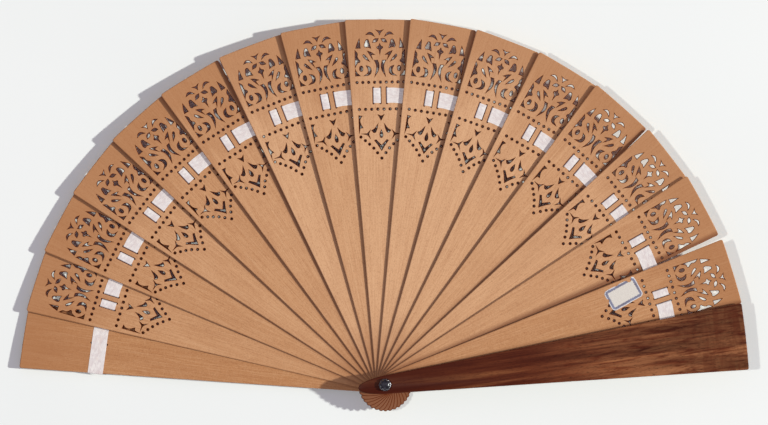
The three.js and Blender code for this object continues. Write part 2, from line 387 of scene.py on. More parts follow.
def plate_mesh(name, rings, curves, thickness, bevel, depth=None, rounds=0):
    """A flat closed plate about z = 0 in metres: the first ring is its outline, the rest are openings.

    Its edges are bevelled inwards by bevel, over a height of depth (the same as bevel if not given).
    """
    squash = depth / bevel if depth else 1.0
    curve = bpy.data.curves.new(name, "CURVE")
    curve.dimensions = "2D"
    curve.fill_mode = "BOTH"
    curve.extrude = thickness / squash / 2 - bevel
    curve.bevel_depth = bevel
    curve.bevel_resolution = rounds
    curve.offset = -bevel
    for ring in rings:
        add_ring(curve, ring)
    for loop in curves:
        add_curve(curve, loop)
    maker = bpy.data.objects.new(name, curve)
    bpy.context.scene.collection.objects.link(maker)
    bpy.context.view_layer.update()
    shaped = maker.evaluated_get(bpy.context.evaluated_depsgraph_get())
    mesh = bpy.data.meshes.new_from_object(shaped)
    bpy.data.objects.remove(maker)
    bpy.data.curves.remove(curve)
    weld(mesh)
    mesh.name = name
    mesh.transform(Matrix.Diagonal((MM, MM, MM * squash, 1)))
    return mesh


def weld(mesh):
    shape = bmesh.new()
    shape.from_mesh(mesh)
    bmesh.ops.remove_doubles(shape, verts=shape.verts, dist=1e-4)
    bmesh.ops.dissolve_degenerate(shape, edges=shape.edges, dist=1e-5)
    bmesh.ops.recalc_face_normals(shape, faces=shape.faces)
    shape.to_mesh(mesh)
    shape.free()


def smooth(mesh, angle=40):
    mesh.shade_smooth()
    mesh.set_sharp_from_angle(angle=math.radians(angle))


def on_outer_edge(center):
    """Whether a place, in millimetres, is on a blade's side or rim, not in an opening or by its tail."""
    if center.y < BRIGHT_EDGE_FROM:
        return False
    return abs(center.x) > half_width(center.y) - OUTER_BAND or center.y > BLADE_LENGTH - 2 * OUTER_BAND


def paint_walls(mesh, face_material, wall_material):
    """Gives the sawn walls, and the bevels of the openings and tail, their own darker material, which is
    partly painted shade.
    """
    mesh.materials.append(face_material)
    mesh.materials.append(wall_material)
    for face in mesh.polygons:
        lean = abs(face.normal.z)
        bright = lean > FLAT or (lean > UPRIGHT and on_outer_edge(face.center / MM))
        face.material_index = 0 if bright else 1


def keep_places(mesh):
    """Stores where each point sits on its own piece, in millimetres, for grain and print to follow."""
    places = mesh.attributes.new(PLACE, "FLOAT_VECTOR", "POINT")
    for vertex, entry in zip(mesh.vertices, places.data):
        entry.vector = vertex.co / MM


def place(name, mesh, matrix, body, slot, *nodes):
    keep_places(mesh)
    mesh.transform(matrix)
    piece = bpy.data.objects.new(name, mesh)
    bpy.context.scene.collection.objects.link(piece)
    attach(piece, body)
    if nodes:
        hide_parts(*nodes)
    return piece


# ---------------------------------------------------------------- materials


def linear(red, green, blue):
    """A colour given as 0 to 255 display values, as the linear values that shaders use."""
    values = []
    for value in (red, green, blue):
        share = value / 255
        values.append(share / 12.92 if share <= 0.04045 else ((share + 0.055) / 1.055) ** 2.4)
    return (*values, 1.0)


def mixed(first, second, share):
    return tuple(a + (b - a) * share for a, b in zip(first, second))


class Nodes:
    """Short names for the shader nodes that the materials are made of."""

    def __init__(self, name):
        self.material = bpy.data.materials.new(name)
        self.material.use_nodes = True
        self.tree = self.material.node_tree
        self.shader = self.tree.nodes["Principled BSDF"]

    def new(self, kind, **settings):
        node = self.tree.nodes.new(kind)
        for key, value in settings.items():
            setattr(node, key, value)
        return node

    def link(self, source, target):
        self.tree.links.new(source, target)

    def place(self, scale, shift=(0, 0, 0), source=PLACE):
        """The piece's own coordinates in millimetres, times scale.

        A CAD node has only its Object ones, and the ribbon goes by its UVs.
        """
        mapping = self.new("ShaderNodeMapping")
        unit = 1.0
        if source == PLACE:
            output = self.new("ShaderNodeAttribute", attribute_name=PLACE).outputs["Vector"]
        else:
            output = self.new("ShaderNodeTexCoord").outputs[source]
            unit = 1 / MM if source == "Object" else 1.0
        mapping.inputs["Scale"].default_value = [unit * value for value in scale]
        mapping.inputs["Location"].default_value = shift
        self.link(output, mapping.inputs["Vector"])
        return mapping.outputs["Vector"]

    def noise(self, vector, detail=4.0, roughness=0.55, distortion=0.0):
        node = self.new("ShaderNodeTexNoise")
        node.inputs["Scale"].default_value = 1.0
        node.inputs["Detail"].default_value = detail
        node.inputs["Roughness"].default_value = roughness
        node.inputs["Distortion"].default_value = distortion
        self.link(vector, node.inputs["Vector"])
        return node.outputs["Fac"]

    def spread(self, source, low, high, to_low=0.0, to_high=1.0):
        node = self.new("ShaderNodeMapRange")
        for key, value in zip(("From Min", "From Max", "To Min", "To Max"), (low, high, to_low, to_high)):
            node.inputs[key].default_value = value
        self.link(source, node.inputs["Value"])
        return node.outputs["Result"]

    def ramp(self, source, *stops):
        node = self.new("ShaderNodeValToRGB")
        elements = node.color_ramp.elements
        while len(elements) < len(stops):
            elements.new(0.5)
        for element, (position, color) in zip(elements, stops):
            element.position = position
            element.color = color
        self.link(source, node.inputs["Fac"])
        return node.outputs["Color"]

    def mix(self, share, first, second, blend="MIX"):
        node = self.new("ShaderNodeMix", data_type="RGBA", blend_type=blend)
        sockets = (node.inputs["Factor"], node.inputs[6], node.inputs[7])
        for socket, value in zip(sockets, (share, first, second)):
            if isinstance(value, (int, float, tuple)):
                socket.default_value = value
            else:
                self.link(value, socket)
        return node.outputs[2]

    def math(self, operation, first, second):
        node = self.new("ShaderNodeMath", operation=operation)
        for socket, value in zip(node.inputs, (first, second)):
            if isinstance(value, (int, float)):
                socket.default_value = value
            else:
                self.link(value, socket)
        return node.outputs["Value"]

    def bump(self, height, strength, depth):
        """Depth is in millimetres."""
        node = self.new("ShaderNodeBump")
        node.inputs["Strength"].default_value = strength
        node.inputs["Distance"].default_value = depth * MM
        self.link(height, node.inputs["Height"])
        self.link(node.outputs["Normal"], self.shader.inputs["Normal"])

    def distance(self, source):
        """How far a point is from the origin of its coordinates."""
        node = self.new("ShaderNodeVectorMath", operation="LENGTH")
        self.link(source, node.inputs[0])
        return node.outputs["Value"]


DEEP_WOOD = linear(186, 130, 84)
PALE_WOOD = linear(216, 167, 125)
LIGHT_WOOD = linear(232, 190, 148)
GRIME = linear(146, 88, 50)
PORE = linear(122, 68, 34)
# The colour below is painted shade, laid beside and under the next stick's edge.
SEAM_SHADE = linear(110, 58, 32)

# The line on a stick where the next one's edge rests in the open fan: its place beside the rivet, and how
# far it moves right for each millimetre outwards. Painted shade darkens the stick beside and under that
# line: it starts and is full at the two places SEAM_SHADE_FADE across the line, and SEAM_SHADE_MOST is the
# most of it.
SEAM_FOOT = -5.1
SEAM_SLOPE = 0.1128
SEAM_SHADE_FADE = (-2.2, 0.4)
SEAM_SHADE_MOST = 0.75


def painted_seam_shade(wood):
    """How far a stick is darkened by painted shade beside and under the next one's edge, as that lies in
    the open fan.

    It is painted shade, and stays when the fan closes. It was chosen to bring the dark bands beside the
    edges nearer to the photo, and not because dirt was seen there.
    """
    place = wood.new("ShaderNodeSeparateXYZ")
    wood.link(wood.place((1, 1, 1)), place.inputs["Vector"])
    edge = wood.math("ADD", wood.math("MULTIPLY", place.outputs["Y"], SEAM_SLOPE), SEAM_FOOT)
    beyond = wood.math("SUBTRACT", place.outputs["X"], edge)
    return wood.spread(beyond, *SEAM_SHADE_FADE, 0.0, SEAM_SHADE_MOST)


def sandalwood(name, paleness, seed):
    """Fine straight grain, flecks and mottled figure, with the wood darkened at rim and rivet, and painted
    shade at the seam.
    """
    wood = Nodes(name)
    shift = (37.0 * seed, 91.0 * seed, 5.0 * seed)
    base = mixed(DEEP_WOOD, PALE_WOOD, paleness)
    fibre = wood.noise(wood.place((2.0, 0.045, 1.0), shift), 6.0, 0.66, 0.3)
    cloud = wood.noise(wood.place((0.08, 0.02, 0.1), shift), 3.0, 0.5, 0.6)
    figure = wood.noise(wood.place((0.3, 0.5, 0.3), shift), 4.0, 0.65, 0.6)
    pores = wood.noise(wood.place((4.5, 0.5, 3.0), shift), 2.0, 0.5)
    speck = wood.noise(wood.place((2.2, 1.6, 2.0), shift), 3.0, 0.65)
    dark = mixed(base, GRIME, 0.36)
    light = mixed(base, LIGHT_WOOD, 0.36)
    color = wood.ramp(fibre, (0.3, dark), (0.5, base), (0.72, light))
    color = wood.mix(wood.spread(cloud, 0.4, 0.68, 0.0, 0.34), color, dark)
    color = wood.mix(wood.spread(figure, 0.5, 0.72, 0.0, 0.3), color, light)
    color = wood.mix(wood.spread(pores, 0.6, 0.74, 0.0, 0.42), color, PORE)
    color = wood.mix(wood.spread(speck, 0.52, 0.7, 0.0, 0.34), color, PORE)
    color = wood.mix(wood.spread(speck, 0.46, 0.3, 0.0, 0.4), color, light)
    from_rivet = wood.distance(wood.place((1, 1, 1)))
    drift = wood.spread(cloud, 0.3, 0.7, -9.0, 9.0)
    worn = wood.math("ADD", from_rivet, drift)
    color = wood.mix(wood.spread(worn, 40.0, 14.0, 0.0, 0.5), color, GRIME)
    color = wood.mix(wood.spread(worn, 158.0, 198.0, 0.0, 0.6), color, mixed(DEEP_WOOD, GRIME, 0.5))
    # Painted shade beside and under the next stick's edge.
    color = wood.mix(painted_seam_shade(wood), color, SEAM_SHADE)
    wood.link(color, wood.shader.inputs["Base Color"])
    wood.link(wood.spread(fibre, 0.3, 0.7, 0.62, 0.5), wood.shader.inputs["Roughness"])
    wood.shader.inputs["Specular IOR Level"].default_value = 0.25
    height = wood.math("SUBTRACT", fibre, wood.math("MULTIPLY", speck, 0.7))
    wood.bump(height, 0.6, 0.06)
    return wood.material


def sawn_wood_and_shade():
    """The walls and bevels of the openings and edges: darkened by the saw and by handling, and partly
    painted shade in the openings and along the tails.
    """
    wood = Nodes("sawn_sandalwood_and_shade")
    marks = wood.noise(wood.place((1.2, 1.2, 9.0)), 3.0, 0.6)
    # Dark brown for the sawn wood, which also stands as painted shade in the openings and along the tails.
    color = wood.ramp(marks, (0.3, linear(70, 25, 8)), (0.7, linear(106, 46, 19)))
    wood.link(color, wood.shader.inputs["Base Color"])
    wood.shader.inputs["Roughness"].default_value = 0.8
    wood.shader.inputs["Specular IOR Level"].default_value = 0.0
    wood.bump(marks, 0.4, 0.05)
    return wood.material


def rosewood(name, seed):
    """Dark red-brown with long stripes and open pores, and a soft cross ripple towards the rim."""
    wood = Nodes(name)
    shift = (13.0 * seed, 29.0 * seed, 0.0)
    bands = wood.noise(wood.place((0.11, 0.008, 0.1), shift), 2.0, 0.5, 0.7)
    stripes = wood.noise(wood.place((0.6, 0.016, 0.2), shift), 5.0, 0.62, 0.5)
    fine = wood.noise(wood.place((3.0, 0.06, 1.0), shift), 5.0, 0.6, 0.2)
    ripple = wood.noise(wood.place((0.04, 0.24, 0.2), shift), 2.0, 0.5, 0.8)
    flame = wood.noise(wood.place((0.4, 0.05, 0.2), shift), 4.0, 0.6, 0.8)
    pores = wood.noise(wood.place((4.6, 0.4, 3.0), shift), 2.0, 0.5)
    darkest = linear(58, 22, 12)
    dark = linear(84, 36, 20)
    middle = linear(116, 60, 35)
    streak = linear(166, 112, 74)
    grain = wood.math("ADD", wood.math("MULTIPLY", bands, 0.6), wood.math("MULTIPLY", stripes, 0.4))
    pale = linear(158, 98, 60)
    color = wood.ramp(grain, (0.36, darkest), (0.46, dark), (0.55, middle), (0.64, pale))
    color = wood.mix(wood.spread(fine, 0.46, 0.66, 0.0, 0.5), color, darkest)
    along = wood.distance(wood.place((0, 1, 0)))
    near_rim = wood.spread(along, 80.0, 175.0)
    tan = wood.math("MULTIPLY", wood.spread(grain, 0.44, 0.58, 0.3, 0.85), near_rim)
    color = wood.mix(wood.math("MULTIPLY", tan, wood.spread(flame, 0.36, 0.56)), color, streak)
    at_rim = wood.spread(along, 160.0, 200.0)
    shaded = wood.math("MULTIPLY", wood.spread(ripple, 0.54, 0.36, 0.0, 0.6), at_rim)
    color = wood.mix(shaded, color, dark)
    color = wood.mix(wood.spread(pores, 0.58, 0.7, 0.0, 0.8), color, linear(36, 14, 9))
    near_rivet = wood.spread(along, 120.0, 20.0, 0.0, 0.8)
    color = wood.mix(near_rivet, color, linear(66, 21, 9))
    wood.link(color, wood.shader.inputs["Base Color"])
    wood.link(wood.spread(fine, 0.3, 0.7, 0.3, 0.42), wood.shader.inputs["Roughness"])
    wood.shader.inputs["Specular IOR Level"].default_value = 0.1
    wood.bump(wood.math("MULTIPLY", pores, -1.0), 0.4, 0.05)
    return wood.material


def satin():
    """Thin off-white ribbon: fine weave, painted sheen lines along it, soft creases with painted shade in
    their hollows. UVs are in millimetres.
    """
    cloth = Nodes("ribbon_satin")
    creases = cloth.noise(cloth.place((0.35, 0.5, 1.0), source="UV"), 3.0, 0.55, 0.6)
    lines = cloth.noise(cloth.place((0.25, 6.0, 1.0), source="UV"), 3.0, 0.6)
    threads = cloth.noise(cloth.place((7.0, 9.0, 1.0), source="UV"), 1.0, 0.5)
    stain = cloth.noise(cloth.place((0.12, 0.16, 1.0), (4.0, 9.0, 0.0), source="UV"), 3.0, 0.6, 0.5)
    # The creases are coloured darker where their bump is low: painted shade in the hollows.
    color = cloth.ramp(creases, (0.3, linear(222, 210, 208)), (0.7, linear(246, 240, 234)))
    color = cloth.mix(cloth.spread(stain, 0.5, 0.72, 0.0, 0.5), color, linear(218, 192, 182))
    color = cloth.mix(cloth.spread(lines, 0.46, 0.66, 0.0, 0.6), color, linear(190, 178, 180))
    cloth.link(color, cloth.shader.inputs["Base Color"])
    cloth.shader.inputs["Roughness"].default_value = 0.42
    cloth.shader.inputs["Sheen Weight"].default_value = 0.25
    height = cloth.math("ADD", cloth.math("MULTIPLY", creases, 2.0), cloth.math("MULTIPLY", threads, 0.25))
    cloth.bump(height, 0.6, 0.12)
    return cloth.material


def tarnished_silver():
    metal = Nodes("setting_silver")
    blotches = metal.noise(metal.place((1.1, 1.1, 1.1)), 4.0, 0.6)
    color = metal.ramp(blotches, (0.4, linear(44, 40, 40)), (0.6, linear(168, 168, 174)))
    metal.link(color, metal.shader.inputs["Base Color"])
    metal.shader.inputs["Metallic"].default_value = 1.0
    metal.link(metal.spread(blotches, 0.3, 0.7, 0.5, 0.22), metal.shader.inputs["Roughness"])
    metal.bump(blotches, 0.3, 0.05)
    return metal.material


def rivet_steel():
    metal = Nodes("rivet_metal")
    scratches = metal.noise(metal.place((9.0, 0.9, 2.0), source="Object"), 4.0, 0.6)
    color = metal.ramp(scratches, (0.35, linear(110, 106, 102)), (0.65, linear(168, 168, 170)))
    metal.link(color, metal.shader.inputs["Base Color"])
    metal.shader.inputs["Metallic"].default_value = 1.0
    metal.link(metal.spread(scratches, 0.3, 0.7, 0.5, 0.3), metal.shader.inputs["Roughness"])
    metal.bump(scratches, 0.2, 0.03)
    return metal.material


def paste():
    """Foiled lead glass: a dark mirror behind hard polished facets."""
    glass = Nodes("paste_stone")
    depth = glass.noise(glass.place((0.5, 0.5, 0.5)), 2.0, 0.5)
    color = glass.ramp(depth, (0.35, linear(34, 36, 38)), (0.65, linear(104, 106, 106)))
    glass.link(color, glass.shader.inputs["Base Color"])
    glass.shader.inputs["Metallic"].default_value = 0.85
    glass.shader.inputs["Roughness"].default_value = 0.06
    glass.shader.inputs["Coat Weight"].default_value = 1.0
    glass.shader.inputs["Coat Roughness"].default_value = 0.02
    return glass.material


def paper(half_across, half_along):
    """Aged white paper with a plain hatched blue border, set in from the edge."""
    sheet = Nodes("label_paper")
    fibres = sheet.noise(sheet.place((1.6, 1.6, 1.0)), 5.0, 0.6)
    place = sheet.new("ShaderNodeSeparateXYZ")
    sheet.link(sheet.place((1, 1, 1)), place.inputs["Vector"])
    inset = []
    for axis, half in (("X", half_across), ("Y", half_along)):
        inset.append(sheet.math("SUBTRACT", half, sheet.math("ABSOLUTE", place.outputs[axis], 0)))
    square = sheet.math("MINIMUM", *inset)
    clipped = sheet.math("MULTIPLY", sheet.math("SUBTRACT", sheet.math("ADD", *inset), 1.4), 0.707)
    from_edge = sheet.math("MINIMUM", square, clipped)
    wobble = sheet.math("ADD", from_edge, sheet.spread(fibres, 0.3, 0.7, -0.3, 0.3))
    outside = sheet.spread(wobble, 0.4, 0.6)
    inside = sheet.spread(wobble, 2.0, 1.7)
    diagonal = sheet.math("ADD", place.outputs["X"], place.outputs["Y"])
    hatch = sheet.spread(sheet.math("SINE", sheet.math("MULTIPLY", diagonal, 7.0), 0), -0.6, 0.8, 0.6, 1.0)
    border = sheet.math("MULTIPLY", sheet.math("MULTIPLY", outside, inside), hatch)
    worn = sheet.noise(sheet.place((0.16, 0.16, 1.0), (3.0, 8.0, 0.0)), 3.0, 0.6)
    ink = sheet.ramp(worn, (0.42, linear(92, 102, 146)), (0.6, linear(34, 38, 92)))
    color = sheet.ramp(fibres, (0.3, linear(206, 198, 190)), (0.7, linear(228, 221, 210)))
    color = sheet.mix(sheet.spread(wobble, 0.6, 0.3, 0.0, 0.5), color, linear(226, 230, 240))
    color = sheet.mix(border, color, ink)
    sheet.link(color, sheet.shader.inputs["Base Color"])
    sheet.shader.inputs["Roughness"].default_value = 0.85
    sheet.bump(fibres, 0.3, 0.04)
    return sheet.material


# ---------------------------------------------------------------- sticks and guards

# How pale each stick is, from the plain one to the last pierced one: 0 is deep, 1 is pale.
PALENESS = (0.0, 0.35, 0.3, 0.5, 0.35, 0.5, 0.9, 0.65, 0.9, 0.95, 1.0, 0.8, 0.6, 0.75, 0.5, 0.2)


def build_sticks(chain):
    walls = sawn_wood_and_shade()
    for index, blade in enumerate(chain[:-1]):
        outline = blade_outline(BLADE_LENGTH)
        pin_hole = arc(0, 0, PIN_HOLE_RADIUS, 0, 337.5, 15)
        if index == 0:
            name = "plain_stick"
            rings = [outline, pin_hole, slit_loop(SLIT_PLACES[1], blade["cut"])]
            curves = []
        else:
            name = blade["body"]
            rings = [outline, pin_hole, *fret_rings(blade["cut"])]
            curves = fret_curves(blade["cut"])
        mesh = plate_mesh(name, rings, curves, STICK_THICKNESS, CHAMFER_WIDTH, CHAMFER_DEPTH)
        smooth(mesh, 20)
        paint_walls(mesh, sandalwood("sandalwood_%02d" % index, PALENESS[index], index + 1), walls)
        place(name + "_look", mesh, blade["matrix"], blade["body"], "sandalwood", name)


def build_guards(chain):
    for name, blade, length in (
        ("rear_guard", chain[0], BLADE_LENGTH),
        ("front_guard", chain[-1], FRONT_GUARD_LENGTH),
    ):
        rings = [blade_outline(length), arc(0, 0, PIN_HOLE_RADIUS, 0, 337.5, 15)]
        mesh = plate_mesh(name, rings, [], GUARD_THICKNESS, GUARD_BEVEL, rounds=GUARD_ROUNDS)
        smooth(mesh)
        mesh.materials.append(rosewood("rosewood_" + name, 3 if name == "front_guard" else 8))
        matrix = blade_matrix(name, blade["angle"])
        place(name + "_look", mesh, matrix, blade["body"], "rosewood", name)


# ---------------------------------------------------------------- ribbon


def surface_z(thickness):
    """Height of the middle of the ribbon over a blade, from the blade's middle plane."""
    return thickness / 2 + RIBBON_CLEARANCE + RIBBON_THICKNESS / 2


def ease(share):
    share = min(max(share, 0.0), 1.0)
    return share * share * (3 - 2 * share)


# How far to one side of a slit's middle the ribbon passes through it, and how wide its turn is.
SLIT_SIDE = 0.02
DIP_WIDTH = 0.36


def dip(x, center, start, end):
    """The ribbon's height as it passes through a slit, from start on its left to end on its right."""
    return start + (end - start) * ease((x - center) / DIP_WIDTH + 0.5)


def threaded_height(x, side):
    """Height of the ribbon across a pierced stick: up the first slit, down the second, up the third."""
    top = surface_z(STICK_THICKNESS)
    first, second, third = [place + side for place in SLIT_PLACES]
    if x < (first + second) / 2:
        return dip(x, first + SLIT_SIDE, -top, top)
    if x < (second + third) / 2:
        return dip(x, second - SLIT_SIDE, top, -top)
    return dip(x, third + SLIT_SIDE, -top, top)


def strip_mesh(name, sections):
    """A closed ribbon through cross-sections, each a row of (point, normal), with UVs in mm."""
    shape = bmesh.new()
    uv = shape.loops.layers.uv.new("UVMap")
    rows = []
    travelled = 0.0
    previous = None
    for section in sections:
        centre = section[len(section) // 2][0]
        if previous is not None:
            travelled += (centre - previous).length / MM
        previous = centre
        upper = [shape.verts.new(point + normal * RIBBON_THICKNESS / 2 * MM) for point, normal in section]
        lower = [shape.verts.new(point - normal * RIBBON_THICKNESS / 2 * MM) for point, normal in section]
        loop = upper + lower[::-1]
        across = [i * RIBBON_WIDTH / (len(section) - 1) for i in range(len(section))]
        rows.append((loop, across + across[::-1], travelled))
    for (ring_a, across, at_a), (ring_b, _, at_b) in zip(rows, rows[1:]):
        count = len(ring_a)
        for i in range(count):
            j = (i + 1) % count
            face = shape.faces.new((ring_a[i], ring_a[j], ring_b[j], ring_b[i]))
            spots = ((at_a, across[i]), (at_a, across[j]), (at_b, across[j]), (at_b, across[i]))
            for loop, spot in zip(face.loops, spots):
                loop[uv].uv = spot
    shape.faces.new(rows[0][0][::-1])
    shape.faces.new(rows[-1][0])
    bmesh.ops.recalc_face_normals(shape, faces=shape.faces)
    mesh = bpy.data.meshes.new(name)
    shape.to_mesh(mesh)
    shape.free()
    smooth(mesh, 60)
    return mesh


# The ribbon's mesh: points across it, its step along a blade, and steps between two blades.
ACROSS_POINTS = 9
THREADED_STEP = 0.12
FREE_STEPS = 28

# How far to either side of a place the ribbon's slope is measured, and the slope that stands for
# upright.
SLOPE_REACH = 0.05
UPRIGHT_SLOPE = 1e6

# The ribbon's route. It leaves a blade's face FREE_START right of the middle line. Its free run
# ends FREE_LEAD before the next blade's first slit, and its run on that blade begins SLIT_LEAD
# before it. At the plain stick it starts WRAP_FOOT below the middle plane and WRAP_CLEARANCE
# outside the edge, turns over with WRAP_RADIUS, and is flat from WRAP_REACH further in. Under
# the front guard it ends GLUED_END right of the middle line.
FREE_START = 8.0
FREE_LEAD = 0.6
SLIT_LEAD = 0.4
WRAP_FOOT = 1.0
WRAP_CLEARANCE = 0.12
WRAP_RADIUS = 0.55
WRAP_REACH = 0.9
GLUED_END = 4.0


def width_places(blade):
    """The distances from the rivet at which the ribbon's points lie on a blade, across its width."""
    middle = RIBBON_RADIUS + blade["cut"][1]
    return [middle + RIBBON_WIDTH * (i / (ACROSS_POINTS - 1) - 0.5) for i in range(ACROSS_POINTS)]


def blade_section(blade, x, z, slope):
    """A cross-section of the ribbon on a blade: square to the blade at x, leaning by slope."""
    matrix = blade["matrix"]
    lean = math.atan(slope)
    normal = (matrix.to_3x3() @ Vector((-math.sin(lean), 0, math.cos(lean)))).normalized()
    return [(matrix @ (Vector((x, y, z)) * MM), normal) for y in width_places(blade)]


def threaded_sections(blade, heights, start, end):
    count = int(round((end - start) / THREADED_STEP))
    sections = []
    for i in range(count + 1):
        x = start + (end - start) * i / count
        slope = (heights(x + SLOPE_REACH) - heights(x - SLOPE_REACH)) / (2 * SLOPE_REACH)
        sections.append(blade_section(blade, x, heights(x), slope))
    return sections


def free_sections(blade, after, x_end):
    """The ribbon's run from one blade's face to the underside of the next, where its next slit is."""
    top_a = surface_z(STICK_THICKNESS)
    under_b = -surface_z(GUARD_THICKNESS if after["body"] == "front_guard" else STICK_THICKNESS)
    sections = []
    start = blade["matrix"] @ (Vector((FREE_START, RIBBON_RADIUS, top_a)) * MM)
    end = after["matrix"] @ (Vector((x_end, RIBBON_RADIUS, under_b)) * MM)
    for i in range(1, FREE_STEPS + 1):
        share = i / FREE_STEPS
        section = []
        for y_a, y_b in zip(width_places(blade), width_places(after)):
            from_a = blade["matrix"] @ (Vector((FREE_START, y_a, top_a)) * MM)
            from_b = after["matrix"] @ (Vector((x_end, y_b, under_b)) * MM)
            point = from_a.lerp(from_b, share)
            lift = ease((point - start).dot(end - start) / (end - start).length_squared)
            # Heights of the two faces above and below this place, on their own planes.
            low = height_on(blade["matrix"], point, top_a)
            high = height_on(after["matrix"], point, under_b)
            section.append(Vector((point.x, point.y, low + (high - low) * lift)))
        sections.append(section)
    return with_normals(sections), start, end


def height_on(matrix, point, z):
    """World height of the plane at z above a blade's middle plane, over or under a point."""
    normal = matrix.to_3x3() @ Vector((0, 0, 1))
    anchor = matrix @ Vector((0, 0, z * MM))
    return anchor.z - (normal.x * (point.x - anchor.x) + normal.y * (point.y - anchor.y)) / normal.z


def with_normals(sections):
    """Adds to each cross-section point the direction square to the ribbon there."""
    finished = []
    last = len(sections) - 1
    for i, section in enumerate(sections):
        before = sections[max(i - 1, 0)]
        after = sections[min(i + 1, last)]
        along = after[ACROSS_POINTS // 2] - before[ACROSS_POINTS // 2]
        width = section[-1] - section[0]
        normal = along.cross(width).normalized()
        if normal.z < 0:
            normal = -normal
        finished.append([(point, normal) for point in section])
    return finished


def ribbon_piece(name, mesh, material, node):
    mesh.materials.append(material)
    piece = bpy.data.objects.new(name, mesh)
    bpy.context.scene.collection.objects.link(piece)
    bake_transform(piece)
    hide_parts(node)


def build_ribbon(chain):
    """One length per blade: through its slits and on to the first slit of the next."""
    material = satin()
    for index, (blade, after) in enumerate(zip(chain, chain[1:])):
        side = blade["cut"][0]
        if index == 0:
            outer = -half_width(RIBBON_RADIUS + RIBBON_WIDTH / 2) - WRAP_CLEARANCE
            sections = wrapped_end(blade, outer)
            sections += threaded_sections(blade, plain_height, outer + WRAP_REACH, FREE_START)
        else:
            first_slit = SLIT_PLACES[0] + side
            heights = functools.partial(threaded_height, side=side)
            sections = threaded_sections(blade, heights, first_slit - SLIT_LEAD, FREE_START)
        x_end = SLIT_PLACES[0] + after["cut"][0] - FREE_LEAD
        free, start, end = free_sections(blade, after, x_end)
        node = "ribbon_%02d" % index
        mesh = strip_mesh(node, sections + free)
        ribbon_piece("ribbon_look_%02d" % index, mesh, material, node)
    build_glued_end(chain[-1], material)


def plain_height(x):
    return surface_z(STICK_THICKNESS)


def wrapped_end(blade, outer):
    """Up the outer edge of the plain stick and over on to its face."""
    top = surface_z(STICK_THICKNESS)
    sections = []
    for i in range(5):
        z = -WRAP_FOOT + (top - WRAP_RADIUS + WRAP_FOOT) * i / 4
        sections.append(blade_section(blade, outer, z, UPRIGHT_SLOPE))
    for i in range(1, 7):
        turn = math.radians(15 * i)
        x = outer + WRAP_RADIUS * (1 - math.cos(turn))
        z = top - WRAP_RADIUS * (1 - math.sin(turn))
        sections.append(blade_section(blade, x, z, 1 / math.tan(turn)))
    return sections


def build_glued_end(blade, material):
    under = -surface_z(GUARD_THICKNESS)
    first = SLIT_PLACES[0] + blade["cut"][0] - FREE_LEAD
    sections = threaded_sections(blade, lambda x: under, first, GLUED_END)
    mesh = strip_mesh("ribbon_16", sections)
    mesh.materials.append(material)
    place("ribbon_look_16", mesh, Matrix.Identity(4), blade["body"], "ribbon_satin", "ribbon_16")


# ---------------------------------------------------------------- rivet and jewel


def turned_mesh(name, profile, segments, shift=None):
    """A solid turned about Z from a profile of (radius, height) in mm; shift(i, angle) moves a corner."""
    shape = bmesh.new()
    rings = []
    for i, (radius, height) in enumerate(profile):
        ring = []
        for s in range(segments if radius > 0 else 1):
            angle = 2 * math.pi * s / segments
            out, up = shift(i, angle) if shift else (0.0, 0.0)
            r = (radius + out) * MM
            ring.append(shape.verts.new((r * math.cos(angle), r * math.sin(angle), (height + up) * MM)))
        rings.append(ring)
    for low, high in zip(rings, rings[1:]):
        for s in range(segments):
            t = (s + 1) % segments
            if len(low) == 1:
                shape.faces.new((low[0], high[t], high[s]))
            elif len(high) == 1:
                shape.faces.new((low[s], low[t], high[0]))
            else:
                shape.faces.new((low[s], low[t], high[t], high[s]))
    bmesh.ops.recalc_face_normals(shape, faces=shape.faces)
    mesh = bpy.data.meshes.new(name)
    shape.to_mesh(mesh)
    shape.free()
    return mesh


SETTING_TEETH = 14


def build_setting():
    """A cup whose rim is pressed into rounded claws over the stone's girdle."""
    low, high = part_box("jewel_setting")
    z = low.z / MM
    top = high.z / MM
    outer = (high.x - low.x) / 2 / MM
    profile = [
        (0, z),
        (outer - 0.35, z),
        (outer - 0.05, z + 0.35),
        (outer - 0.1, z + 0.9),
        (outer - 0.12, top - 0.5),
        (outer - 0.3, top - 0.1),
        (outer - 0.62, top),
        (outer - 0.72, top - 0.22),
        (outer - 0.5, top - 0.6),
        (outer - 0.5, z + 1.0),
        (1.2, z + 0.25),
        (0, z + 0.25),
    ]

    def claw(i, angle):
        wave = math.cos(SETTING_TEETH * angle)
        share = max(wave, 0.0) ** 0.6
        if 4 <= i <= 8:
            return (0.1 * (share - 1), -0.62 * (1 - share))
        if 2 <= i <= 3:
            return (-0.08 * (1 - wave) / 2, 0.0)
        return (0.0, 0.0)

    mesh = turned_mesh("jewel_setting", profile, SETTING_TEETH * 12, claw)
    smooth(mesh, 50)
    mesh.materials.append(tarnished_silver())
    place("jewel_setting_look", mesh, Matrix.Identity(4), chain_root(), "setting_silver", "jewel_setting")


def chain_root():
    return frame["joints"][0]["parent"]


